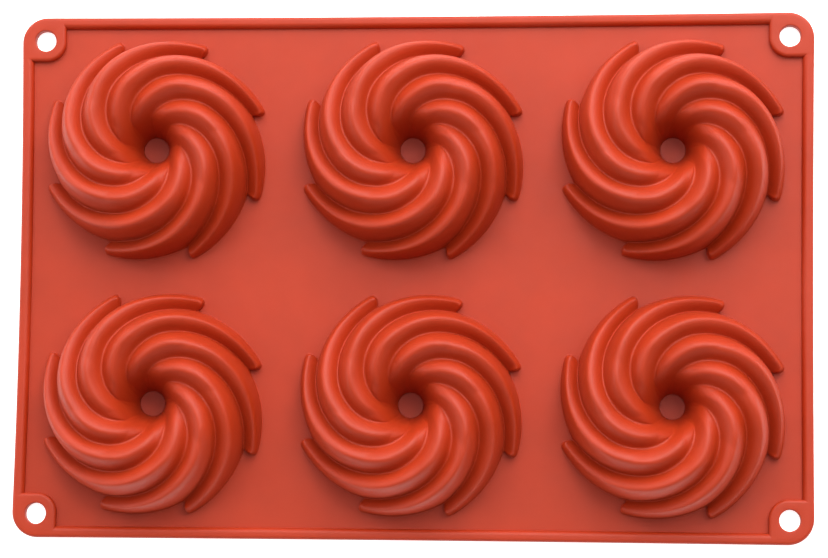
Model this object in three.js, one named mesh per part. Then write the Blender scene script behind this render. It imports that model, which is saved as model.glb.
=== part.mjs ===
// Silicone baking tray with six spiral-fluted ring cups, lying face down with its cups up.
// Millimetres, +Z up. The origin is the middle of the flat open face that the tray lies on.
import * as THREE from "three";

// Tray plate, called the deck
const TRAY_LENGTH = 300;
const TRAY_WIDTH = 198;
const TRAY_CORNER_RADIUS = 9.4;
const DECK_THICKNESS = 1.5;

// Bead along the edge, and the corner pads with their hanging holes
const BEAD_WIDTH = 3.5;
const BEAD_HEIGHT = 2.5;
const BEAD_EDGE_RADIUS = 1.2;
const PAD_REACH = 16.3;
const PAD_INNER_RADIUS = 7.4;
const PAD_EDGE_RADIUS = 0.8;
const HANGING_HOLE_DIAMETER = 8;
const HANGING_HOLE_INSET = 8.5;

// Places of the cups by row and column, and the deck left free between their tips and beside them
const ROW_NAMES = ["front", "back"];
const COLUMN_NAMES = ["left", "middle", "right"];
const CUP_EDGE_X = 8.5;
const CUP_EDGE_Y = 7.1;
const CUP_GAP_X = 11;
const CUP_GAP_Y = 9.8;

// Wall of a cup, and the plan of its ribs: each one winds inward from a blunt tip at the foot
const WALL = 1.5;
const RIB_COUNT = 8;
const FIRST_TIP_ANGLE = 18.5;
const TIP_STEP = 4.7;
const CORE_RADIUS = 4.7;
const SPIRAL_PITCHES = 3;
const SPIRAL_OUTER_HANDLE_SHARE = 0.7625;
const SPIRAL_INNER_HANDLE_SHARE = 0.396;

// Section of a rib: where its crest runs across the width, and how far the crest is rounded to each side
const CREST_SHARE = 0.62;
const CREST_ROUNDING = 3;
const CREST_ROUNDING_LIMIT = 0.3;

// Heights of a cup above the deck, at shares of the way from the core to the foot of the valleys
const SKIRT_HEIGHT = 4.7;
const VALLEY_CROWN_SHARE = 0.595;
const VALLEY_CROWN_HEIGHT = 20;
const VALLEY_FULLNESS = 2;
const CORE_STEEPNESS = 2.3;
const CREST_CROWN_SHARE = 0.654;
const CREST_CROWN_HEIGHT = 26;
const CREST_TIP_HEIGHT = 6.2;
const CREST_FULLNESS = 2.6;
const RELIEF_FADE_SHARE = 0.1;
const RELIEF_FULLNESS = 0.6;

// Closed disc at the bottom of each core
const CORE_CAP_THICKNESS = DECK_THICKNESS;

// Facets
const STEPS_PER_PITCH = 3;
const CORNER_STEPS = 6;
const HOLE_STEPS = 16;
const EDGE_STEPS = 3;

const SILICONE_COLOUR = 0xc84a36;
const CORE_COLOUR = 0xb8402e;

function silicone(colour) {
  return new THREE.MeshStandardMaterial({ color: colour, roughness: 0.48, metalness: 0 });
}

function namedMesh(name, geometry, colour = SILICONE_COLOUR) {
  const mesh = new THREE.Mesh(geometry, silicone(colour));
  mesh.name = name;
  return mesh;
}

// A closed body from points and triangles, turned so that its faces point out
function bodyGeometry(points, triangles) {
  let volume = 0;
  for (const [a, b, c] of triangles) {
    volume += points[a].dot(new THREE.Vector3().crossVectors(points[b], points[c]));
  }
  const indices = triangles.flatMap(([a, b, c]) => (volume > 0 ? [a, b, c] : [a, c, b]));
  const geometry = new THREE.BufferGeometry().setFromPoints(points);
  geometry.setIndex(indices);
  return geometry;
}

function arcPoints(centreX, centreY, radius, fromDegrees, toDegrees, steps) {
  const points = [];
  for (let step = 0; step <= steps; step += 1) {
    const angle = THREE.MathUtils.degToRad(fromDegrees + ((toDegrees - fromDegrees) * step) / steps);
    points.push(new THREE.Vector2(centreX + radius * Math.cos(angle), centreY + radius * Math.sin(angle)));
  }
  return points;
}

function ringPoints(centreX, centreY, radius, count) {
  return arcPoints(centreX, centreY, radius, 0, 360, count).slice(0, count);
}

// Plan of one cup: as large as the tray leaves room for
const { lerp } = THREE.MathUtils;
const roomX = TRAY_LENGTH - 2 * CUP_EDGE_X - (COLUMN_NAMES.length - 1) * CUP_GAP_X;
const roomY = TRAY_WIDTH - 2 * CUP_EDGE_Y - (ROW_NAMES.length - 1) * CUP_GAP_Y;
const tipRadius = Math.min(roomX / COLUMN_NAMES.length, roomY / ROW_NAMES.length) / 2;
const footValleyRadius = tipRadius - TIP_STEP;
const pitchAngle = 360 / RIB_COUNT;
const stepAngle = pitchAngle / STEPS_PER_PITCH;
const windingSteps = SPIRAL_PITCHES * STEPS_PER_PITCH;
const ribSteps = windingSteps + STEPS_PER_PITCH;

function radiusAtShare(share) {
  return lerp(CORE_RADIUS, footValleyRadius, share);
}

// Radius of the valley that starts at a rib's tip, so many steps along its winding
function valleyRadius(step) {
  const share = Math.min(step / windingSteps, 1);
  const winding = new THREE.CubicBezierCurve(
    new THREE.Vector2(0, footValleyRadius),
    new THREE.Vector2(1 / 3, radiusAtShare(SPIRAL_OUTER_HANDLE_SHARE)),
    new THREE.Vector2(2 / 3, radiusAtShare(SPIRAL_INNER_HANDLE_SHARE)),
    new THREE.Vector2(1, CORE_RADIUS),
  );
  return winding.getPoint(share).y;
}

// Radius of the foot's outline, which falls evenly from one tip to the next
function outlineRadius(step) {
  return lerp(tipRadius, footValleyRadius, step / STEPS_PER_PITCH);
}

// Height of the valleys at a radius: falls to the skirt outside the crown, and down a steep wall to the core
function valleyHeight(radius) {
  const crown = radiusAtShare(VALLEY_CROWN_SHARE);
  if (radius >= crown) {
    const reach = (radius - crown) / (footValleyRadius - crown);
    return lerp(VALLEY_CROWN_HEIGHT, SKIRT_HEIGHT, reach ** VALLEY_FULLNESS);
  }
  const reach = Math.min((crown - radius) / (crown - CORE_RADIUS), 1);
  return VALLEY_CROWN_HEIGHT * (1 - reach ** VALLEY_FULLNESS) ** (1 / CORE_STEEPNESS);
}

// Height of the crests at a radius, before they are rounded; towards the core they sink into the wall
function crestHeight(radius) {
  const crown = radiusAtShare(CREST_CROWN_SHARE);
  if (radius >= crown) {
    const tipCrest = lerp(footValleyRadius, tipRadius, CREST_SHARE);
    const reach = Math.min((radius - crown) / (tipCrest - crown), 1);
    return lerp(CREST_CROWN_HEIGHT, CREST_TIP_HEIGHT, reach ** CREST_FULLNESS);
  }
  const fade = radiusAtShare(RELIEF_FADE_SHARE);
  const reach = Math.max((radius - fade) / (crown - fade), 0);
  return valleyHeight(radius) + (CREST_CROWN_HEIGHT - valleyHeight(crown)) * reach ** RELIEF_FULLNESS;
}

// A rib's section: straight flanks from 0 at both edges to 1 at the crest, with the crest rounded
function roundedRidge(share, rounding) {
  const climb = 1 / CREST_SHARE;
  const fall = -1 / (1 - CREST_SHARE);
  const past = share - CREST_SHARE;
  if (Math.abs(past) >= rounding) return 1 + past * (past < 0 ? climb : fall);
  const bend = ((climb - fall) * (past * past + rounding * rounding)) / (4 * rounding);
  return 1 + 0.5 * (climb + fall) * past - bend;
}

// A cup's ribs share the points of the valleys between them, so each point is kept once by its key
function pointStore() {
  const points = [];
  const places = new Map();
  const at = (key, angle, radius, height) => {
    if (!places.has(key)) {
      const turn = THREE.MathUtils.degToRad(angle);
      places.set(key, points.length);
      points.push(new THREE.Vector3(radius * Math.cos(turn), radius * Math.sin(turn), height));
    }
    return places.get(key);
  };
  return { points, at };
}

// Outer skin of a cup, with its foot and its core's rim in the plane of the deck's upper face
function cupSkin() {
  const { points, at } = pointStore();
  const triangles = [];
  const footLoop = [];
  const coreLoop = [];

  const angleOf = (rib, step) => FIRST_TIP_ANGLE + pitchAngle * rib + stepAngle * step;

  const valleyPoint = (rib, step) => {
    const index = ((rib % RIB_COUNT) + RIB_COUNT) % RIB_COUNT;
    const radius = valleyRadius(step);
    if (step >= windingSteps) {
      const turn = (index * STEPS_PER_PITCH + step) % (RIB_COUNT * STEPS_PER_PITCH);
      return at(`core ${turn}`, angleOf(index, step), CORE_RADIUS, 0);
    }
    return at(`valley ${index} ${step}`, angleOf(index, step), radius, valleyHeight(radius));
  };

  const outerPoint = (rib, step) => {
    if (step >= STEPS_PER_PITCH) return valleyPoint(rib + 1, step - STEPS_PER_PITCH);
    return at(`outline ${rib} ${step}`, angleOf(rib, step), outlineRadius(step), SKIRT_HEIGHT);
  };

  const footPoint = (rib, step) => {
    if (step >= STEPS_PER_PITCH) {
      return at(`foot corner ${(rib + 1) % RIB_COUNT}`, angleOf(rib + 1, 0), footValleyRadius, 0);
    }
    return at(`foot ${rib} ${step}`, angleOf(rib, step), outlineRadius(step), 0);
  };

  // Section of a rib: up from its own valley to the crest, then over and down to the next valley
  const ribSection = (rib, step) => {
    const innerRadius = valleyRadius(step);
    const innerHeight = valleyHeight(innerRadius);
    const isFree = step < STEPS_PER_PITCH;
    const outerRadius = isFree ? outlineRadius(step) : valleyRadius(step - STEPS_PER_PITCH);
    const outerHeight = isFree ? SKIRT_HEIGHT : valleyHeight(outerRadius);
    const rounding = Math.min(CREST_ROUNDING / (outerRadius - innerRadius), CREST_ROUNDING_LIMIT);

    // The ground under the ridge is flat across a free end and follows the dome farther in
    const domed = THREE.MathUtils.clamp(step / STEPS_PER_PITCH - 1, 0, 1);
    const ground = (share) => {
      const flat = lerp(innerHeight, outerHeight, share);
      return isFree ? flat : lerp(flat, valleyHeight(lerp(innerRadius, outerRadius, share)), domed);
    };
    const relief = crestHeight(lerp(innerRadius, outerRadius, CREST_SHARE)) - ground(CREST_SHARE);
    const ridgePoint = (name, share) => {
      const height = ground(share) + relief * roundedRidge(share, rounding);
      return at(`${name} ${rib} ${step}`, angleOf(rib, step), lerp(innerRadius, outerRadius, share), height);
    };
    return [
      valleyPoint(rib, step),
      ridgePoint("inner side", CREST_SHARE - rounding),
      ridgePoint("crest", CREST_SHARE),
      ridgePoint("outer side", CREST_SHARE + rounding),
      outerPoint(rib, step),
    ];
  };

  for (let rib = 0; rib < RIB_COUNT; rib += 1) {
    let before = ribSection(rib, 0);
    const tip = [...before, footPoint(rib, 0)];
    const corner = footPoint(rib - 1 + RIB_COUNT, STEPS_PER_PITCH);
    for (let index = 1; index < tip.length; index += 1) {
      triangles.push([corner, tip[index], tip[index - 1]]);
    }
    for (let step = 1; step <= ribSteps; step += 1) {
      const isEnd = step === ribSteps;
      const after = isEnd ? before.map(() => valleyPoint(rib, step)) : ribSection(rib, step);
      for (let index = 1; index < before.length; index += 1) {
        triangles.push([before[index - 1], before[index], after[index]]);
        triangles.push([before[index - 1], after[index], after[index - 1]]);
      }
      if (step <= STEPS_PER_PITCH) {
        const [top, nextTop] = [before[before.length - 1], after[after.length - 1]];
        const [low, nextLow] = [footPoint(rib, step - 1), footPoint(rib, step)];
        triangles.push([top, low, nextLow]);
        triangles.push([top, nextLow, nextTop]);
        footLoop.push(low);
      }
      before = after;
    }
    footLoop.push(footPoint(rib, STEPS_PER_PITCH));
  }
  for (let turn = 0; turn < RIB_COUNT * STEPS_PER_PITCH; turn += 1) {
    coreLoop.push(valleyPoint(0, windingSteps + turn));
  }
  const whole = triangles.filter(([a, b, c]) => a !== b && b !== c && c !== a);
  return { points, triangles: whole, footLoop, coreLoop };
}

// A loop in the deck's plane moved sideways by a distance, to the left of its direction if positive
function offsetLoop(loop, distance) {
  return loop.map((point, index) => {
    const before = loop[(index + loop.length - 1) % loop.length];
    const after = loop[(index + 1) % loop.length];
    const normalIn = new THREE.Vector2(before.y - point.y, point.x - before.x).normalize();
    const normalOut = new THREE.Vector2(point.y - after.y, after.x - point.x).normalize();
    const bisector = normalIn.clone().add(normalOut).normalize();
    const reach = distance / bisector.dot(normalIn);
    return new THREE.Vector2(point.x + bisector.x * reach, point.y + bisector.y * reach);
  });
}

// Each point moved in by the wall, square to the faces around it
function offsetSkin(skin) {
  const { points, triangles } = skin;
  const normals = points.map(() => new THREE.Vector3());
  const faceNormals = triangles.map(([a, b, c]) => {
    const edgeOne = points[b].clone().sub(points[a]);
    const edgeTwo = points[c].clone().sub(points[a]);
    return edgeOne.cross(edgeTwo).normalize();
  });
  const facesAt = points.map(() => []);
  triangles.forEach((triangle, face) => {
    triangle.forEach((corner, place) => {
      const next = points[triangle[(place + 1) % 3]].clone().sub(points[corner]);
      const last = points[triangle[(place + 2) % 3]].clone().sub(points[corner]);
      normals[corner].addScaledVector(faceNormals[face], next.angleTo(last));
      facesAt[corner].push(face);
    });
  });
  const inner = points.map((point, index) => {
    const normal = normals[index].normalize();
    const facing = facesAt[index].map((face) => faceNormals[face].dot(normal));
    const mean = facing.reduce((sum, value) => sum + value, 0) / facing.length;
    return point.clone().addScaledVector(normal, -WALL / mean);
  });
  const moveLoop = (loop, moved) => {
    loop.forEach((index, place) => inner[index].set(moved[place].x, moved[place].y, 0));
  };
  moveLoop(skin.footLoop, offsetLoop(skin.footLoop.map((index) => points[index]), WALL));
  moveLoop(skin.coreLoop, offsetLoop(skin.coreLoop.map((index) => points[index]), -WALL));
  return inner;
}

const skin = cupSkin();
const innerPoints = offsetSkin(skin);
const mouthOutline = skin.footLoop.map((index) => innerPoints[index]);

// Thin wall of one cup: the outer skin, the inner skin, and the flat rings at foot and core that join them
function cupGeometry() {
  const count = skin.points.length;
  const points = [...skin.points, ...innerPoints];
  const triangles = [...skin.triangles];
  for (const [a, b, c] of skin.triangles) {
    triangles.push([a + count, c + count, b + count]);
  }
  const joinRing = (loop, isOutward) => {
    loop.forEach((from, place) => {
      const to = loop[(place + 1) % loop.length];
      const [first, second] = isOutward ? [from, to] : [to, from];
      triangles.push([second, first, first + count]);
      triangles.push([second, first + count, second + count]);
    });
  };
  joinRing(skin.footLoop, true);
  joinRing(skin.coreLoop, false);
  return bodyGeometry(points, triangles);
}

// Disc that closes the bottom of a core, under the core's rim ring
function coreCapGeometry() {
  const rim = skin.coreLoop.map((index) => new THREE.Vector2(innerPoints[index].x, innerPoints[index].y));
  return new THREE.ExtrudeGeometry(new THREE.Shape(rim), {
    depth: CORE_CAP_THICKNESS,
    bevelEnabled: false,
  });
}

// Places of the cups, spread evenly between the tray's ends and sides
const cupPlaces = [];
const pitchX = (TRAY_LENGTH - 2 * (CUP_EDGE_X + tipRadius)) / (COLUMN_NAMES.length - 1);
const pitchY = (TRAY_WIDTH - 2 * (CUP_EDGE_Y + tipRadius)) / (ROW_NAMES.length - 1);
ROW_NAMES.forEach((rowName, row) => {
  COLUMN_NAMES.forEach((columnName, column) => {
    cupPlaces.push({
      name: `${rowName}_${columnName}`,
      x: (column - (COLUMN_NAMES.length - 1) / 2) * pitchX,
      y: (row - (ROW_NAMES.length - 1) / 2) * pitchY,
    });
  });
});

const halfLength = TRAY_LENGTH / 2;
const halfWidth = TRAY_WIDTH / 2;
const cornerPlaces = [
  { name: "front_left", signX: -1, signY: -1 },
  { name: "front_right", signX: 1, signY: -1 },
  { name: "back_left", signX: -1, signY: 1 },
  { name: "back_right", signX: 1, signY: 1 },
];

function hangingHole(corner) {
  const x = corner.signX * (halfLength - HANGING_HOLE_INSET);
  const y = corner.signY * (halfWidth - HANGING_HOLE_INSET);
  return ringPoints(x, y, HANGING_HOLE_DIAMETER / 2, HOLE_STEPS);
}

// Flat plate under everything, open at each cup's mouth and at the hanging holes
function deckGeometry() {
  const cornerX = halfLength - TRAY_CORNER_RADIUS;
  const cornerY = halfWidth - TRAY_CORNER_RADIUS;
  const outline = [
    ...arcPoints(cornerX, cornerY, TRAY_CORNER_RADIUS, 0, 90, CORNER_STEPS),
    ...arcPoints(-cornerX, cornerY, TRAY_CORNER_RADIUS, 90, 180, CORNER_STEPS),
    ...arcPoints(-cornerX, -cornerY, TRAY_CORNER_RADIUS, 180, 270, CORNER_STEPS),
    ...arcPoints(cornerX, -cornerY, TRAY_CORNER_RADIUS, 270, 360, CORNER_STEPS),
  ];
  const plate = new THREE.Shape(outline);
  for (const place of cupPlaces) {
    plate.holes.push(new THREE.Path(mouthOutline.map((point) => (
      new THREE.Vector2(place.x + point.x, place.y + point.y)
    ))));
  }
  for (const corner of cornerPlaces) {
    plate.holes.push(new THREE.Path(hangingHole(corner)));
  }
  return new THREE.ExtrudeGeometry(plate, { depth: DECK_THICKNESS, bevelEnabled: false });
}

// Section of the bead, flat below and round at its upper edges, across its width and up
function beadSection() {
  const rightX = BEAD_WIDTH - BEAD_EDGE_RADIUS;
  const roundY = BEAD_HEIGHT - BEAD_EDGE_RADIUS;
  return new THREE.Shape([
    new THREE.Vector2(0, 0),
    new THREE.Vector2(BEAD_WIDTH, 0),
    ...arcPoints(rightX, roundY, BEAD_EDGE_RADIUS, 0, 90, EDGE_STEPS),
    ...arcPoints(BEAD_EDGE_RADIUS, roundY, BEAD_EDGE_RADIUS, 90, 180, EDGE_STEPS),
  ]);
}

// One straight run of the bead between two pads, along +X from the origin, its outer side at y = 0
function railGeometry(length) {
  const rail = new THREE.ExtrudeGeometry(beadSection(), { depth: length, bevelEnabled: false });
  rail.rotateX(Math.PI / 2);
  rail.rotateZ(Math.PI / 2);
  return rail;
}

// Outline of a corner pad, drawn in from its sides, with its outer corner at the origin
function padOutline(inset) {
  const near = inset;
  const far = PAD_REACH - inset;
  const outerRadius = TRAY_CORNER_RADIUS - inset;
  const innerRadius = PAD_INNER_RADIUS - inset;
  return [
    ...arcPoints(near + outerRadius, near + outerRadius, outerRadius, 180, 270, CORNER_STEPS),
    new THREE.Vector2(far, near),
    ...arcPoints(far - innerRadius, far - innerRadius, innerRadius, 0, 90, CORNER_STEPS),
    new THREE.Vector2(near, far),
  ];
}

// A corner pad: its outline in layers that draw in at the upper edge, with the hanging hole through them
function padGeometry() {
  const layers = [{ inset: 0, height: 0 }];
  for (let step = 0; step <= EDGE_STEPS; step += 1) {
    const angle = (Math.PI / 2) * (step / EDGE_STEPS);
    layers.push({
      inset: PAD_EDGE_RADIUS * (1 - Math.cos(angle)),
      height: BEAD_HEIGHT - PAD_EDGE_RADIUS * (1 - Math.sin(angle)),
    });
  }
  const hole = ringPoints(HANGING_HOLE_INSET, HANGING_HOLE_INSET, HANGING_HOLE_DIAMETER / 2, HOLE_STEPS);
  const points = [];
  const triangles = [];
  const sideCount = padOutline(0).length;
  for (const layer of layers) {
    const outline = padOutline(layer.inset);
    points.push(...outline.map((point) => new THREE.Vector3(point.x, point.y, layer.height)));
  }
  const holeStart = points.length;
  for (const height of [0, BEAD_HEIGHT]) {
    points.push(...hole.map((point) => new THREE.Vector3(point.x, point.y, height)));
  }
  const wall = (start, nextStart, count) => {
    for (let index = 0; index < count; index += 1) {
      const next = (index + 1) % count;
      triangles.push([start + index, start + next, nextStart + next]);
      triangles.push([start + index, nextStart + next, nextStart + index]);
    }
  };
  for (let layer = 1; layer < layers.length; layer += 1) {
    wall((layer - 1) * sideCount, layer * sideCount, sideCount);
  }
  wall(holeStart + HOLE_STEPS, holeStart, HOLE_STEPS);
  const lid = (outlineStart, ringStart, isUp) => {
    const outline = points.slice(outlineStart, outlineStart + sideCount);
    const ring = points.slice(ringStart, ringStart + HOLE_STEPS);
    const faces = THREE.ShapeUtils.triangulateShape(outline, [ring]);
    const place = (index) => (index < sideCount ? outlineStart + index : ringStart + index - sideCount);
    for (const face of faces) {
      const [a, b, c] = face.map(place);
      triangles.push(isUp ? [a, b, c] : [a, c, b]);
    }
  };
  lid(0, holeStart, false);
  lid((layers.length - 1) * sideCount, holeStart + HOLE_STEPS, true);
  return bodyGeometry(points, triangles);
}

// Assembly
const tray = new THREE.Group();
tray.add(namedMesh("deck", deckGeometry()));

const upperSide = new THREE.Group();
upperSide.position.z = DECK_THICKNESS;
tray.add(upperSide);

const longRun = TRAY_LENGTH - 2 * PAD_REACH;
const shortRun = TRAY_WIDTH - 2 * PAD_REACH;
const rails = [
  { name: "rim_front", length: longRun, x: -longRun / 2, y: -halfWidth, turn: 0 },
  { name: "rim_right", length: shortRun, x: halfLength, y: -shortRun / 2, turn: Math.PI / 2 },
  { name: "rim_back", length: longRun, x: longRun / 2, y: halfWidth, turn: Math.PI },
  { name: "rim_left", length: shortRun, x: -halfLength, y: shortRun / 2, turn: -Math.PI / 2 },
];
for (const rail of rails) {
  const mesh = namedMesh(rail.name, railGeometry(rail.length));
  mesh.position.set(rail.x, rail.y, 0);
  mesh.rotation.z = rail.turn;
  upperSide.add(mesh);
}

const padTurns = { front_left: 0, front_right: Math.PI / 2, back_right: Math.PI, back_left: -Math.PI / 2 };
for (const corner of cornerPlaces) {
  const mesh = namedMesh(`corner_pad_${corner.name}`, padGeometry());
  mesh.position.set(corner.signX * halfLength, corner.signY * halfWidth, 0);
  mesh.rotation.z = padTurns[corner.name];
  upperSide.add(mesh);
}

for (const place of cupPlaces) {
  const cup = namedMesh(`cup_${place.name}`, cupGeometry());
  cup.position.set(place.x, place.y, 0);
  upperSide.add(cup);

  const cap = namedMesh(`core_cap_${place.name}`, coreCapGeometry(), CORE_COLOUR);
  cap.position.set(place.x, place.y, -CORE_CAP_THICKNESS);
  upperSide.add(cap);
}

export default tray;
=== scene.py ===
# Silicone baking tray with six spiral-ribbed ring cups, lying face down on a pale floor.
import math

import bmesh
import bpy
from mathutils import Matrix, Vector


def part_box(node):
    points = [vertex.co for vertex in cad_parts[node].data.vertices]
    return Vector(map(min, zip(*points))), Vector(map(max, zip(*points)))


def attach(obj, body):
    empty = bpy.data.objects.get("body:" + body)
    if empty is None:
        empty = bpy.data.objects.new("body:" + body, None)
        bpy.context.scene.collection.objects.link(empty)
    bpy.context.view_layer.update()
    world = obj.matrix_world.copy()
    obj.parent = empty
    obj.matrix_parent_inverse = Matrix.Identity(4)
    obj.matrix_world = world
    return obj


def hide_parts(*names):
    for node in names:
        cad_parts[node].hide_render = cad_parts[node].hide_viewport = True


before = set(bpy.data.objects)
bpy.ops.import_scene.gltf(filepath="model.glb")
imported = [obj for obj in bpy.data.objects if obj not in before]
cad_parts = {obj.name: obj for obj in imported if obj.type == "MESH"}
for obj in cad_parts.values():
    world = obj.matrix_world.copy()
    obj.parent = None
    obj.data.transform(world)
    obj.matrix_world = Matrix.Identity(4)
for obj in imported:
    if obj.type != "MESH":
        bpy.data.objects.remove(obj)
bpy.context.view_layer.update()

# Lengths are in millimetres and angles in degrees, unless a comment says otherwise
MM = 0.001

# Sizes read from the frame
deck_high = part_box("deck")[1]
DECK_TOP = deck_high.z / MM
HALF_LENGTH = deck_high.x / MM
HALF_WIDTH = deck_high.y / MM
rail_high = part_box("rim_left")[1]
BEAD_HEIGHT = rail_high.z / MM - DECK_TOP
pad_low, pad_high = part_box("corner_pad_back_right")
PAD_REACH = (pad_high.x - pad_low.x) / MM

# Outer side of the rim: it stands a little past the solids' edge
RIM_SPREAD = 0.55
LOWER_EDGE = 0.25
EDGE_STEPS = 8
SHARP_ANGLE = 40.0

# Bead: round-edged, with a flat top nearer to the outer side
BEAD_OUTER_RADIUS = 1.3
BEAD_CREST_INSET = 1.8
BEAD_REACH = 3.75
BEAD_LAP = 1.7
BEAD_SINK = 0.05
BEAD_ROOT_WIDTH = 1.6
BEAD_INNER_STEPS = 12
BEAD_RUN_STEPS = 60

# Corner pads and their holes
TRAY_CORNER_RADIUS = 9.4
PAD_INNER_RADIUS = 7.4
PAD_END_RADIUS = 1.0
PAD_END_RADIUS_LEAST = 0.2
PAD_EDGE_RADIUS = 1.3
PAD_RISE = 0.03
PAD_CURVE_STEPS = 24
PAD_END_STEPS = 6
HOLE_RADIUS = 4.0
HOLE_INSET = 8.5
HOLE_EDGE_RADIUS = 0.45
HOLE_EDGE_STEPS = 6

# The rim is soft: two of its corners have drifted from a true rectangle, and its sides bow in beside the cups
DRIFT_BACK_RIGHT = (0.4, 1.1)
DRIFT_FRONT_LEFT = (-0.7, 0.05)
BOW_LEFT = 1.2
BOW_RIGHT = 0.5
BOW_BACK = 0.55
BOW_FRONT = 0.3

# Deck: how far it runs under beads and pads, and how little its top lies below the feet of the cups
DECK_LAP = 1.5
DECK_DROP = 0.01
DECK_SIDE_STEPS = 12
DECK_CORNER_STEPS = 10
MOUTH_FLARE_SHARE = 0.6

# Plan of a cup's ribs
RIB_COUNT = 8
FIRST_TIP_ANGLE = 18.7
TIP_RADIUS = 44.2
FOOT_VALLEY_RADIUS = 38.8
CORE_RADIUS = 4.7
SPIRAL_PITCHES = 3
SPIRAL_OUTER_HANDLE_RADIUS = 30.8
SPIRAL_INNER_HANDLE_RADIUS = 17.7
NARROWEST_RIB = 0.01

# Section of a rib: its crest moves from near its outer edge towards its middle as the rib winds in
TIP_CREST_SHARE = 0.79
CORE_CREST_SHARE = 0.56
CREST_MOVE_START = 23.0
CREST_MOVE_END = 118.0
CREST_ROUNDING = 2.0
CREST_ROUNDING_LIMIT = 0.28
OUTER_ROUNDING_SHARE = 0.85
FLANK_BULGE = 0.23
CREASE_WIDTH = 0.56
CREASE_WIDTH_LIMIT = 0.06

# Free end of a rib
TIP_START = -0.5
TIP_SLANT = 1.4
TIP_SLANT_ROWS = 6
TIP_ROUNDING = 2.6
TIP_CORNER_RADIUS = 2.1
TIP_END_SHARE = 0.15

# Heights of a cup above the deck
SKIRT_HEIGHT = 1.8
VALLEY_CROWN_RADIUS = 22.7
VALLEY_CROWN_HEIGHT = 21.0
VALLEY_OUTER_FULLNESS = 1.84
VALLEY_INNER_FULLNESS = 3.8
CORE_STEEPNESS = 1.05
CREST_CROWN_RADIUS = 27.7
CREST_CROWN_HEIGHT = 25.2
CREST_TIP_HEIGHT = 4.3
CREST_FULLNESS = 2.5
RELIEF_FADE_RADIUS = 8.0
RELIEF_FULLNESS = 0.5

# Upright foot of a cup: shares of its height, then angles round the fillet on the deck
FOOT_FILLET_RADIUS = 0.3
FOOT_HEIGHT_SHARES = {"under": 0.86, "middle": 0.45}
FOOT_FILLET_ANGLES = [0.0, 30.0, 60.0, 90.0]

# Fineness of a cup's skin: angles of the rows in one pitch of the spiral, closer together at a rib's end
ROW_ANGLES = [TIP_START, -0.1, 0.5, 1.5, 3.0, 4.8] + [7.0 + 2.0 * step for step in range(19)]
ROWS = len(ROW_ANGLES)
LAST_COLUMN = 10

# Disc at the bottom of a core
DISC_RING_RADIUS = 3.2
DISC_LAP = 0.15
DISC_SIDES = 48

PITCH = 360.0 / RIB_COUNT
WINDING = SPIRAL_PITCHES * ROWS
WINDING_ANGLE = SPIRAL_PITCHES * PITCH

CUP_PLACES = ["front_left", "front_middle", "front_right", "back_left", "back_middle", "back_right"]


def cup_centre(place):
    """Middle of a cup on the deck's upper face."""
    low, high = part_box(f"core_cap_{place}")
    centre = (low + high) * 0.5 / MM
    centre.z = DECK_TOP
    return centre


cup_centres = {place: cup_centre(place) for place in CUP_PLACES}


def lerp(low, high, share):
    return low + (high - low) * share


def arc(centre_x, centre_y, radius, start, end, steps):
    angles = [math.radians(lerp(start, end, step / steps)) for step in range(steps + 1)]
    return [(centre_x + radius * math.cos(angle), centre_y + radius * math.sin(angle)) for angle in angles]


class Skin:
    """Points kept once each by a key, and the faces between them."""

    def __init__(self):
        self.points = []
        self.places = {}
        self.faces = []

    def at(self, key, point):
        if key not in self.places:
            self.places[key] = len(self.points)
            self.points.append(Vector(point))
        return self.places[key]

    def round_at(self, key, angle, radius, height):
        turn = math.radians(angle)
        return self.at(key, (radius * math.cos(turn), radius * math.sin(turn), height))

    def face(self, *corners):
        kept = [corner for place, corner in enumerate(corners) if corner != corners[place - 1]]
        if len(set(kept)) > 2:
            self.faces.append(tuple(dict.fromkeys(kept)))

    def quads(self, vertex, rows, columns):
        """Faces between neighbouring rows and columns of points, where vertex gives the point of each."""
        for row in range(rows):
            for column in range(columns):
                self.face(
                    vertex(row, column),
                    vertex(row, column + 1),
                    vertex(row + 1, column + 1),
                    vertex(row + 1, column),
                )


# Shape of a cup's ribs
def row_angle(row):
    """Angle from a rib's end at which a row of its skin lies."""
    return PITCH * (row // ROWS) + ROW_ANGLES[row % ROWS]


def valley_radius(angle):
    """Radius of the crease beside a rib so far along it."""
    share = min(angle / WINDING_ANGLE, 1.0)
    rest = 1.0 - share
    return (
        rest ** 3 * FOOT_VALLEY_RADIUS
        + 3 * rest ** 2 * share * SPIRAL_OUTER_HANDLE_RADIUS
        + 3 * rest * share ** 2 * SPIRAL_INNER_HANDLE_RADIUS
        + share ** 3 * CORE_RADIUS
    )


def tip_rounding(angle, radius):
    """How much of a rib's full section is there so far from its end: 0 at the end, 1 past the rounding."""
    distance = TIP_RADIUS * math.radians(angle - TIP_START)
    rest = max(1.0 - distance / radius, 0.0)
    return math.sqrt(1.0 - rest * rest)


def tip_slant(row, share):
    """Angle by which a rib's first rows are set back towards its inner side, so that its end is rounded."""
    if row >= TIP_SLANT_ROWS:
        return 0.0
    return TIP_SLANT * (1.0 - share) ** 2 * (1.0 - row / TIP_SLANT_ROWS)


def outline_radius(angle):
    """Radius of a rib's outer side on the deck so far from its end."""
    corner = TIP_CORNER_RADIUS * (1.0 - tip_rounding(angle, TIP_CORNER_RADIUS))
    return lerp(TIP_RADIUS, FOOT_VALLEY_RADIUS, angle / PITCH) - corner


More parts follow.
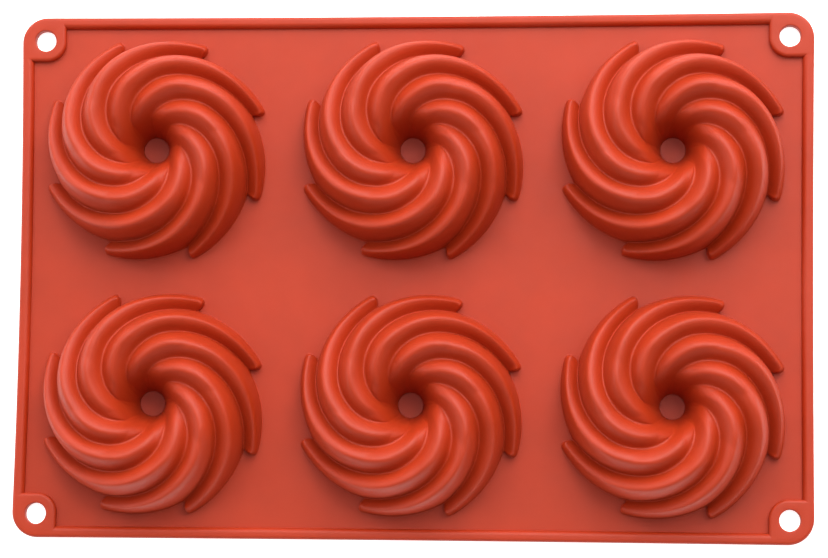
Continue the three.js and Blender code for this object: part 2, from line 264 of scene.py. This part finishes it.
def valley_height(radius):
    """Height of the dome that the creases lie on."""
    if radius >= VALLEY_CROWN_RADIUS:
        reach = (radius - VALLEY_CROWN_RADIUS) / (FOOT_VALLEY_RADIUS - VALLEY_CROWN_RADIUS)
        return lerp(VALLEY_CROWN_HEIGHT, SKIRT_HEIGHT, min(reach, 1.0) ** VALLEY_OUTER_FULLNESS)
    reach = min((VALLEY_CROWN_RADIUS - radius) / (VALLEY_CROWN_RADIUS - CORE_RADIUS), 1.0)
    return VALLEY_CROWN_HEIGHT * (1.0 - reach ** VALLEY_INNER_FULLNESS) ** (1.0 / CORE_STEEPNESS)


def crest_height(radius):
    """Height of a rib's crest, before its rounding and its end are taken off."""
    if radius >= CREST_CROWN_RADIUS:
        tip_crest = lerp(FOOT_VALLEY_RADIUS, TIP_RADIUS, TIP_CREST_SHARE)
        reach = min((radius - CREST_CROWN_RADIUS) / (tip_crest - CREST_CROWN_RADIUS), 1.0)
        return lerp(CREST_CROWN_HEIGHT, CREST_TIP_HEIGHT, reach ** CREST_FULLNESS)
    reach = max((radius - RELIEF_FADE_RADIUS) / (CREST_CROWN_RADIUS - RELIEF_FADE_RADIUS), 0.0)
    full_relief = CREST_CROWN_HEIGHT - valley_height(CREST_CROWN_RADIUS)
    return valley_height(radius) + full_relief * reach ** RELIEF_FULLNESS


def rib_edges(angle):
    """Radii of a rib's inner and outer edges so far along it."""
    outer = outline_radius(angle) if angle < PITCH else valley_radius(angle - PITCH)
    return valley_radius(angle), outer


def rib_width(angle):
    inner, outer = rib_edges(angle)
    return max(outer - inner, NARROWEST_RIB)


def crest_share(angle):
    """Share of a rib's width at which its crest runs so far along it."""
    move = (angle - CREST_MOVE_START) / (CREST_MOVE_END - CREST_MOVE_START)
    move = min(max(move, 0.0), 1.0)
    return lerp(TIP_CREST_SHARE, CORE_CREST_SHARE, move * move * (3.0 - 2.0 * move))


def crest_rounding(angle):
    """Share of a rib's width over which its crest is rounded to each side."""
    rounding = min(CREST_ROUNDING / rib_width(angle), CREST_ROUNDING_LIMIT)
    return min(rounding, OUTER_ROUNDING_SHARE * (1.0 - crest_share(angle)))


def crease_share(angle):
    """Share of a rib's width that lies flat in the crease at each of its edges."""
    return min(CREASE_WIDTH / rib_width(angle), CREASE_WIDTH_LIMIT)


def column_share(angle, column):
    """Share of a rib's width at which a column of its skin runs: close to the creases and round the crest."""
    crest = crest_share(angle)
    rounding = crest_rounding(angle)
    crease = min(crease_share(angle), 0.5 * (1.0 - crest - rounding))
    shares = [0.0, crease, lerp(crease, crest - rounding, 0.5), crest - rounding]
    shares += [crest - 0.5 * rounding, crest, crest + 0.5 * rounding, crest + rounding]
    shares += [lerp(crest + rounding, 1.0 - crease, 0.5), 1.0 - crease, 1.0]
    return shares[column]


def rounded_ridge(share, crest, rounding):
    """Flanks from 0 at both edges of a rib to about 1 at its crest, rounded there and a little full below."""
    climb = 1.0 / crest
    fall = -1.0 / (1.0 - crest)
    past = share - crest
    side = past * (climb if past < 0 else fall)
    if abs(past) >= rounding:
        straight = 1.0 + side
    else:
        bend = (climb - fall) * (past * past + rounding * rounding) / (4.0 * rounding)
        straight = 1.0 + 0.5 * (climb + fall) * past - bend
    full = math.sqrt(max(1.0 - side * side, 0.0))
    return lerp(straight, full, FLANK_BULGE)


def rib_point(angle, column):
    """Radius and height of a rib's skin so far along it and at a column of its width."""
    inner, outer = rib_edges(angle)
    share = column_share(angle, column)
    crest = crest_share(angle)
    inner_height = valley_height(inner)
    outer_height = SKIRT_HEIGHT if angle < PITCH else valley_height(outer)
    crest_radius = lerp(inner, outer, crest)
    peak_height = crest_height(crest_radius)
    end_height = lerp(SKIRT_HEIGHT, peak_height, TIP_END_SHARE)
    peak_height = lerp(end_height, peak_height, tip_rounding(angle, TIP_ROUNDING))

    # The ground under the ridge is flat across a free end and follows the dome farther in
    domed = min(max(angle / PITCH - 1.0, 0.0), 1.0)

    def ground(ground_radius, ground_share):
        flat = lerp(inner_height, outer_height, ground_share)
        return flat if domed == 0 else lerp(flat, valley_height(ground_radius), domed)

    # The columns next to a rib's edges lie flat in the creases
    radius = lerp(inner, outer, share)
    if column in (1, LAST_COLUMN - 1):
        return radius, ground(radius, share)
    relief = peak_height - ground(crest_radius, crest)
    return radius, ground(radius, share) + relief * rounded_ridge(share, crest, crest_rounding(angle))


def cup_skin():
    """Outer skin of one cup round the origin, with its foot on height 0."""
    skin = Skin()
    last = LAST_COLUMN

    def angle_of(rib, row, column=0):
        angle = FIRST_TIP_ANGLE + PITCH * rib + row_angle(row)
        return angle + tip_slant(row, column_share(row_angle(row), column))

    def valley_point(rib, row):
        rib = rib % RIB_COUNT
        if row >= WINDING:
            turn = (rib * ROWS + row) % (RIB_COUNT * ROWS)
            return skin.round_at(("core", turn), angle_of(rib, row), CORE_RADIUS, 0.0)
        radius = valley_radius(row_angle(row))
        return skin.round_at(("valley", rib, row), angle_of(rib, row), radius, valley_height(radius))

    def rib_vertex(rib, row, column):
        if column == 0 or row == WINDING + ROWS:
            return valley_point(rib, row)
        if column == last and row >= ROWS:
            return valley_point(rib + 1, row - ROWS)
        radius, height = rib_point(row_angle(row), column)
        key = ("rib", rib % RIB_COUNT, row, column)
        return skin.round_at(key, angle_of(rib, row, column), radius, height)

    for rib in range(RIB_COUNT):
        skin.quads(lambda row, column: rib_vertex(rib, row, column), WINDING + ROWS, last)

    # Upright foot: the blunt end of each rib, then the skirt under its outer side, in levels down to the deck
    side = last + ROWS
    levels = ["top", *FOOT_HEIGHT_SHARES, *FOOT_FILLET_ANGLES]

    def foot_vertex(rib, step, level):
        if step == side:
            rib, step = rib + 1, 0
        rib = rib % RIB_COUNT
        row = max(step - last, 0)
        column = min(step, last)
        if level == "top":
            return rib_vertex(rib, row, column)
        radius, height = rib_point(row_angle(row), column)
        flare = 0.0
        if level in FOOT_HEIGHT_SHARES:
            height = lerp(FOOT_FILLET_RADIUS, height, FOOT_HEIGHT_SHARES[level])
        else:
            flare = FOOT_FILLET_RADIUS * (1.0 - math.cos(math.radians(level)))
            height = FOOT_FILLET_RADIUS * (1.0 - math.sin(math.radians(level)))
        angle = angle_of(rib, row, column) - math.degrees(flare / radius)
        return skin.round_at(("foot", level, rib, step), angle, radius + flare, height)

    for rib in range(RIB_COUNT):
        skin.quads(lambda step, level: foot_vertex(rib, step, levels[level]), side, len(levels) - 1)
    return skin


def foot_outline(flare):
    """Plan of a cup's foot, moved out by a flare, as points round the origin."""
    points = []
    for rib in range(RIB_COUNT):
        start = FIRST_TIP_ANGLE + PITCH * rib
        places = [(valley_radius(TIP_START), start + TIP_START + TIP_SLANT)]
        places += [(outline_radius(angle), start + angle) for angle in ROW_ANGLES]
        for radius, angle in places:
            turn = math.radians(angle) - flare / radius
            points.append(((radius + flare) * math.cos(turn), (radius + flare) * math.sin(turn)))
    return points


# Silicone: two close reds, a satin gloss, a slow swell and a fine grain, with turns of noise in a metre
DARK_RED = (0.35, 0.0235, 0.0016, 1.0)
LIGHT_RED = (0.39, 0.0265, 0.0022, 1.0)
TINT_TURNS = 55.0
TINT_SPAN = (0.3, 0.7)
SATIN_TURNS = 180.0
SATIN_ROUGHNESS = (0.48, 0.60)
SWELL_TURNS = 70.0
SWELL_STRENGTH = 0.08
SWELL_DEPTH = 2.0
GRAIN_TURNS = 2600.0
GRAIN_STRENGTH = 0.06
GRAIN_DEPTH = 0.3
SILICONE_IOR = 1.41
GLOW_WEIGHT = 0.05
GLOW_RADIUS = (1.0, 0.18, 0.1)
GLOW_DEPTH = 1.2


def silicone_material():
    material = bpy.data.materials.new("red_silicone")
    material.use_nodes = True
    nodes = material.node_tree.nodes
    links = material.node_tree.links
    shader = nodes["Principled BSDF"]
    place = nodes.new("ShaderNodeTexCoord")

    def noise(turns, detail, roughness=0.5):
        node = nodes.new("ShaderNodeTexNoise")
        node.inputs["Scale"].default_value = turns
        node.inputs["Detail"].default_value = detail
        node.inputs["Roughness"].default_value = roughness
        links.new(place.outputs["Object"], node.inputs["Vector"])
        return node.outputs["Fac"]

    def bump(height, strength, depth):
        node = nodes.new("ShaderNodeBump")
        node.inputs["Strength"].default_value = strength
        node.inputs["Distance"].default_value = depth * MM
        links.new(height, node.inputs["Height"])
        return node

    tint = nodes.new("ShaderNodeValToRGB")
    for element, position, colour in zip(tint.color_ramp.elements, TINT_SPAN, (DARK_RED, LIGHT_RED)):
        element.position = position
        element.color = colour
    links.new(noise(TINT_TURNS, 5.0, 0.6), tint.inputs["Fac"])
    links.new(tint.outputs["Color"], shader.inputs["Base Color"])

    satin = nodes.new("ShaderNodeMapRange")
    satin.inputs["To Min"].default_value = SATIN_ROUGHNESS[0]
    satin.inputs["To Max"].default_value = SATIN_ROUGHNESS[1]
    links.new(noise(SATIN_TURNS, 4.0), satin.inputs["Value"])
    links.new(satin.outputs["Result"], shader.inputs["Roughness"])

    swell = bump(noise(SWELL_TURNS, 2.0), SWELL_STRENGTH, SWELL_DEPTH)
    grain = bump(noise(GRAIN_TURNS, 3.0), GRAIN_STRENGTH, GRAIN_DEPTH)
    links.new(swell.outputs["Normal"], grain.inputs["Normal"])
    links.new(grain.outputs["Normal"], shader.inputs["Normal"])

    shader.inputs["IOR"].default_value = SILICONE_IOR
    shader.inputs["Subsurface Weight"].default_value = GLOW_WEIGHT
    shader.inputs["Subsurface Radius"].default_value = GLOW_RADIUS
    shader.inputs["Subsurface Scale"].default_value = GLOW_DEPTH * MM
    return material


silicone = silicone_material()


def add_piece(name, mesh, *nodes):
    mesh.materials.append(silicone)
    piece = bpy.data.objects.new(name, mesh)
    bpy.context.scene.collection.objects.link(piece)
    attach(piece, "root")
    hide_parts(*nodes)
    return piece


def mesh_from(name, points, faces, is_smooth=True):
    mesh = bpy.data.meshes.new(name)
    mesh.from_pydata([Vector(point) * MM for point in points], [], faces)
    mesh.update()
    mesh.polygons.foreach_set("use_smooth", [is_smooth] * len(mesh.polygons))
    return mesh


# Cups, each a skin with its wall on the inside
def add_cup(place, skin):
    points = [point + cup_centres[place] for point in skin.points]
    mesh = mesh_from(f"ribbed_cup_{place}", points, skin.faces)
    cup = add_piece(f"ribbed_cup_{place}", mesh, f"cup_{place}")
    fine = cup.modifiers.new("fine", "SUBSURF")
    fine.levels = 1
    fine.render_levels = 1
    wall = cup.modifiers.new("wall", "SOLIDIFY")
    wall.thickness = DECK_TOP * MM
    wall.offset = -1.0


shared_skin = cup_skin()
for place in CUP_PLACES:
    add_cup(place, shared_skin)


# Discs at the bottom of the cores
def add_core_disc(place):
    centre = cup_centres[place]
    edge_radius = CORE_RADIUS + DISC_LAP
    rings = [(0.0, 0.0), (DISC_RING_RADIUS, 0.0), (edge_radius, 0.0)]
    rings += [(edge_radius, -DECK_TOP), (0.0, -DECK_TOP)]
    disc = Skin()

    def vertex(side, ring):
        radius, height = rings[ring]
        turn = math.tau * side / DISC_SIDES
        key = (ring, side % DISC_SIDES if radius else 0)
        x = centre.x + radius * math.cos(turn)
        y = centre.y + radius * math.sin(turn)
        return disc.at(key, (x, y, DECK_TOP + height))

    disc.quads(vertex, DISC_SIDES, len(rings) - 1)
    mesh = mesh_from(f"core_disc_{place}", disc.points, disc.faces, is_smooth=False)
    add_piece(f"core_disc_{place}", mesh, f"core_cap_{place}")


for place in CUP_PLACES:
    add_core_disc(place)


# Soft rim
def soft_rim(x, y):
    """Where a point of the true rectangle's rim really lies on the soft tray."""
    right = 0.5 + 0.5 * x / HALF_LENGTH
    back = 0.5 + 0.5 * y / HALF_WIDTH
    along_x = 1.0 - (x / HALF_LENGTH) ** 2
    along_y = 1.0 - (y / HALF_WIDTH) ** 2
    near_back_right = right * back
    near_front_left = (1.0 - right) * (1.0 - back)
    x += near_back_right * DRIFT_BACK_RIGHT[0] + near_front_left * DRIFT_FRONT_LEFT[0]
    y += near_back_right * DRIFT_BACK_RIGHT[1] + near_front_left * DRIFT_FRONT_LEFT[1]
    x += along_y * lerp(BOW_LEFT, -BOW_RIGHT, right)
    y += along_x * lerp(BOW_FRONT, -BOW_BACK, back)
    return x, y


def soft_point(point):
    x, y = soft_rim(point.x, point.y)
    return Vector((x, y, point.z))


# Deck: the flat plate between cups, beads and pads
def deck_outline():
    """Plan of the deck, cut out at the corner pads."""
    edge_x = HALF_LENGTH - DECK_LAP
    edge_y = HALF_WIDTH - DECK_LAP
    pad_x = HALF_LENGTH - PAD_REACH + DECK_LAP
    pad_y = HALF_WIDTH - PAD_REACH + DECK_LAP
    radius = PAD_INNER_RADIUS - DECK_LAP
    corner = [(edge_x, pad_y)]
    corner += arc(pad_x + radius, pad_y + radius, radius, 270, 180, DECK_CORNER_STEPS)
    corner += [(pad_x, edge_y)]
    outline = []
    for sign_x, sign_y in [(1, 1), (-1, 1), (-1, -1), (1, -1)]:
        run = [(sign_x * x, sign_y * y) for x, y in corner]
        outline += run if sign_x * sign_y > 0 else run[::-1]
    points = []
    for start, end in zip(outline, outline[1:] + outline[:1]):
        steps = DECK_SIDE_STEPS if math.dist(start, end) > 2 * PAD_REACH else 1
        for step in range(steps):
            share = step / steps
            points.append(soft_rim(lerp(start[0], end[0], share), lerp(start[1], end[1], share)))
    return points


def add_deck():
    loops = [deck_outline()]
    mouth = foot_outline(FOOT_FILLET_RADIUS * MOUTH_FLARE_SHARE)
    for centre in cup_centres.values():
        loops.append([(centre.x + x, centre.y + y) for x, y in mouth])
    top = (DECK_TOP - DECK_DROP) * MM
    sheet = bmesh.new()
    edges = []
    for loop in loops:
        corners = [sheet.verts.new((x * MM, y * MM, top)) for x, y in loop]
        for first, second in zip(corners, corners[1:] + corners[:1]):
            edges.append(sheet.edges.new((first, second)))
    bmesh.ops.triangle_fill(sheet, use_beauty=True, edges=edges)
    grown = bmesh.ops.extrude_face_region(sheet, geom=sheet.faces[:])
    lowered = [item for item in grown["geom"] if isinstance(item, bmesh.types.BMVert)]
    bmesh.ops.translate(sheet, verts=lowered, vec=(0, 0, -top))
    bmesh.ops.recalc_face_normals(sheet, faces=sheet.faces[:])
    mesh = bpy.data.meshes.new("deck_sheet")
    sheet.to_mesh(mesh)
    sheet.free()
    add_piece("deck_sheet", mesh, "deck")


add_deck()


# Outer side of the rim, shared by beads and pads
def outer_edge(radius, top):
    """Section up the outer side and round its top: distance in from it, and height above the deck."""
    section = [(LOWER_EDGE, -DECK_TOP), (0.0, LOWER_EDGE - DECK_TOP)]
    for step in range(EDGE_STEPS + 1):
        angle = math.radians(90.0 * step / EDGE_STEPS)
        section.append((radius * (1 - math.cos(angle)), top - radius * (1 - math.sin(angle))))
    return section


# Bead along each edge
def bead_section():
    """Section of a bead: distance in from the solids' outer side, and height above the deck."""
    outer_side = outer_edge(BEAD_OUTER_RADIUS, BEAD_HEIGHT)
    section = [(inward - RIM_SPREAD, height) for inward, height in outer_side]
    for step in range(BEAD_INNER_STEPS + 1):
        angle = math.radians(90.0 * step / BEAD_INNER_STEPS)
        inward = lerp(BEAD_CREST_INSET, BEAD_REACH, math.sin(angle))
        section.append((inward, BEAD_HEIGHT * math.cos(angle)))
    section += [(BEAD_REACH, -BEAD_SINK), (BEAD_ROOT_WIDTH, -BEAD_SINK), (BEAD_ROOT_WIDTH, -DECK_TOP)]
    return section


def add_bead(place, length, turn, reach):
    section = bead_section()
    count = len(section)
    run = Matrix.Rotation(math.radians(turn), 4, "Z")
    bead = Skin()

    def vertex(corner, step):
        corner = corner % count
        inward, height = section[corner]
        along = lerp(-length / 2, length / 2, step / BEAD_RUN_STEPS)
        point = run @ Vector((along, inward - reach, DECK_TOP + height))
        return bead.at((step, corner), soft_point(point))

    bead.quads(vertex, count, BEAD_RUN_STEPS)
    bead.face(*[vertex(corner, 0) for corner in range(count)])
    bead.face(*[vertex(corner, BEAD_RUN_STEPS) for corner in reversed(range(count))])
    mesh = mesh_from(f"edge_bead_{place}", bead.points, bead.faces)
    mesh.set_sharp_from_angle(angle=math.radians(SHARP_ANGLE))
    add_piece(f"edge_bead_{place}", mesh, f"rim_{place}")


long_run = 2 * (HALF_LENGTH - PAD_REACH + BEAD_LAP)
short_run = 2 * (HALF_WIDTH - PAD_REACH + BEAD_LAP)
add_bead("front", long_run, 0, HALF_WIDTH)
add_bead("right", short_run, 90, HALF_LENGTH)
add_bead("back", long_run, 180, HALF_WIDTH)
add_bead("left", short_run, -90, HALF_LENGTH)


# Corner pads with their hanging holes
def pad_outline(inset):
    """Plan of a pad with the solids' corner at the origin, drawn in by an inset."""
    near = inset - RIM_SPREAD
    far = PAD_REACH - inset
    outer = TRAY_CORNER_RADIUS - near
    inner = PAD_INNER_RADIUS - inset
    end = max(PAD_END_RADIUS - inset, PAD_END_RADIUS_LEAST)
    points = arc(near + outer, near + outer, outer, 180, 270, PAD_CURVE_STEPS)
    points += arc(far - end, near + end, end, 270, 360, PAD_END_STEPS)
    points += arc(far - inner, far - inner, inner, 0, 90, PAD_CURVE_STEPS)
    points += arc(near + end, far - end, end, 90, 180, PAD_END_STEPS)
    return points


def hole_section(top):
    """Section down a hole from its rounded mouth: radius, and height above the deck."""
    section = []
    for step in range(HOLE_EDGE_STEPS + 1):
        angle = math.radians(90.0 - 90.0 * step / HOLE_EDGE_STEPS)
        radius = HOLE_RADIUS + HOLE_EDGE_RADIUS * (1 - math.cos(angle))
        section.append((radius, top - HOLE_EDGE_RADIUS * (1 - math.sin(angle))))
    section += [(HOLE_RADIUS, LOWER_EDGE - DECK_TOP), (HOLE_RADIUS + LOWER_EDGE, -DECK_TOP)]
    return section


def pad_rings():
    """Rings of points up a pad's outline, across its top and down its hole."""
    top = BEAD_HEIGHT + PAD_RISE
    rings = []
    for inset, height in outer_edge(PAD_EDGE_RADIUS, top):
        rings.append([(x, y, height) for x, y in pad_outline(inset)])
    first_x, first_y = pad_outline(0.0)[0]
    first_angle = math.atan2(first_y - HOLE_INSET, first_x - HOLE_INSET)
    count = len(rings[0])
    angles = [first_angle + math.tau * side / count for side in range(count)]
    hole_rings = []
    for radius, height in hole_section(top):
        hole_rings.append([
            (HOLE_INSET + radius * math.cos(angle), HOLE_INSET + radius * math.sin(angle), height)
            for angle in angles
        ])
    middle = [Vector(outer).lerp(Vector(inner), 0.5) for outer, inner in zip(rings[-1], hole_rings[0])]
    return rings + [middle] + hole_rings


def add_pad(place, sign_x, sign_y, turn):
    rings = pad_rings()
    count = len(rings[0])
    seat = Matrix.Translation((sign_x * HALF_LENGTH, sign_y * HALF_WIDTH, DECK_TOP))
    seat = seat @ Matrix.Rotation(math.radians(turn), 4, "Z")
    pad = Skin()

    def vertex(ring, side):
        ring = ring % len(rings)
        side = side % count
        return pad.at((ring, side), soft_point(seat @ Vector(rings[ring][side])))

    pad.quads(vertex, len(rings), count)
    mesh = mesh_from(f"hanging_pad_{place}", pad.points, pad.faces)
    mesh.set_sharp_from_angle(angle=math.radians(SHARP_ANGLE))
    add_piece(f"hanging_pad_{place}", mesh, f"corner_pad_{place}")


add_pad("front_left", -1, -1, 0)
add_pad("front_right", 1, -1, 90)
add_pad("back_right", 1, 1, 180)
add_pad("back_left", -1, 1, -90)

# Floor: half its width in metres, its grey and its own light
FLOOR_REACH = 3.0
FLOOR_GREY = 0.9
FLOOR_ROUGHNESS = 0.8
FLOOR_GLOW = 0.8


def add_floor():
    material = bpy.data.materials.new("pale_floor")
    material.use_nodes = True
    shader = material.node_tree.nodes["Principled BSDF"]
    shader.inputs["Base Color"].default_value = (FLOOR_GREY, FLOOR_GREY, FLOOR_GREY, 1.0)
    shader.inputs["Roughness"].default_value = FLOOR_ROUGHNESS
    shader.inputs["Emission Color"].default_value = (1.0, 1.0, 1.0, 1.0)
    shader.inputs["Emission Strength"].default_value = FLOOR_GLOW
    mesh = bpy.data.meshes.new("floor")
    corners = [(-1, -1), (1, -1), (1, 1), (-1, 1)]
    mesh.from_pydata([(FLOOR_REACH * x, FLOOR_REACH * y, 0) for x, y in corners], [], [(0, 1, 2, 3)])
    mesh.materials.append(material)
    floor = bpy.data.objects.new("floor", mesh)
    bpy.context.scene.collection.objects.link(floor)


add_floor()

# Light: soft panels in a wide arc behind the tray, and one each above it, at its left and in front of it
PANEL_DISTANCE = 2.0  # metres


def add_panel(name, azimuth, zenith, width, depth, watts):
    """Panel that faces the tray from two angles in degrees, with its sides in metres."""
    light = bpy.data.lights.new(name, "AREA")
    light.shape = "RECTANGLE"
    light.size = width
    light.size_y = depth
    light.energy = watts
    panel = bpy.data.objects.new(name, light)
    around = math.radians(azimuth)
    down = math.radians(zenith)
    level = PANEL_DISTANCE * math.sin(down)
    height = PANEL_DISTANCE * math.cos(down)
    panel.location = (level * math.cos(around), level * math.sin(around), height)
    panel.rotation_euler = panel.location.to_track_quat("Z", "Y").to_euler()
    bpy.context.scene.collection.objects.link(panel)


add_panel("back_right_panel", azimuth=40.0, zenith=45.0, width=1.5, depth=1.5, watts=22.0)
add_panel("back_panel", azimuth=80.0, zenith=45.0, width=1.5, depth=1.5, watts=27.0)
add_panel("back_left_panel", azimuth=120.0, zenith=45.0, width=1.5, depth=1.5, watts=14.0)
add_panel("low_back_panel", azimuth=80.0, zenith=66.0, width=1.8, depth=0.9, watts=13.0)
add_panel("top_panel", azimuth=60.0, zenith=15.0, width=1.3, depth=1.3, watts=9.0)
add_panel("left_panel", azimuth=175.0, zenith=62.0, width=1.5, depth=1.2, watts=14.0)
add_panel("front_panel", azimuth=270.0, zenith=62.0, width=1.8, depth=1.0, watts=4.0)

# Surround: its greys from the horizon up, each with the height where it stands, and its strength
SURROUND_GREYS = [(0.0, 0.33), (0.28, 0.33), (0.36, 0.0), (0.56, 0.0), (0.66, 0.13)]
SURROUND_STRENGTH = 3.0


def add_surround():
    world = bpy.data.worlds.new("surround")
    world.use_nodes = True
    nodes = world.node_tree.nodes
    links = world.node_tree.links
    background = nodes["Background"]
    place = nodes.new("ShaderNodeTexCoord")
    parts = nodes.new("ShaderNodeSeparateXYZ")
    links.new(place.outputs["Generated"], parts.inputs["Vector"])
    ramp = nodes.new("ShaderNodeValToRGB")
    links.new(parts.outputs["Z"], ramp.inputs["Fac"])
    elements = ramp.color_ramp.elements
    while len(elements) < len(SURROUND_GREYS):
        elements.new(0.5)
    for element, (height, grey) in zip(elements, SURROUND_GREYS):
        element.position = height
        element.color = (grey, grey, grey, 1.0)
    links.new(ramp.outputs["Color"], background.inputs["Color"])
    background.inputs["Strength"].default_value = SURROUND_STRENGTH
    bpy.context.scene.world = world


add_surround()
bpy.context.scene.view_settings.view_transform = "Standard"

# Camera: nearly straight above the tray, with its picture cut off-centre. The image's sizes are in pixels.
CAMERA_DISTANCE = 1000.0
CAMERA_TILT = (-4.174, -4.248, -0.285)
CAMERA_OFFSET = (20.12, 23.92)
CAMERA_NEAR_LIMIT = 10.0
IMAGE_WIDTH = 828
IMAGE_SHIFT = (55.3, 61.7)
PIXELS_PER_MM = 2.6436
SENSOR_WIDTH = 36.0


def add_camera():
    tilt = (
        Matrix.Rotation(math.radians(CAMERA_TILT[2]), 4, "Z")
        @ Matrix.Rotation(math.radians(CAMERA_TILT[1]), 4, "Y")
        @ Matrix.Rotation(math.radians(CAMERA_TILT[0]), 4, "X")
    )
    shift = Matrix.Translation((CAMERA_OFFSET[0] * MM, CAMERA_OFFSET[1] * MM, -CAMERA_DISTANCE * MM))
    seat = Matrix.Translation((0.0, 0.0, -DECK_TOP * MM))
    lens = bpy.data.cameras.new("photo_camera")
    lens.sensor_fit = "HORIZONTAL"
    lens.sensor_width = SENSOR_WIDTH
    lens.lens = PIXELS_PER_MM * CAMERA_DISTANCE * SENSOR_WIDTH / IMAGE_WIDTH
    lens.shift_x = IMAGE_SHIFT[0] / IMAGE_WIDTH
    lens.shift_y = IMAGE_SHIFT[1] / IMAGE_WIDTH
    lens.clip_start = CAMERA_NEAR_LIMIT * MM
    camera = bpy.data.objects.new("photo_camera", lens)
    camera.matrix_world = (shift @ tilt @ seat).inverted()
    bpy.context.scene.collection.objects.link(camera)
    bpy.context.scene.camera = camera


add_camera()
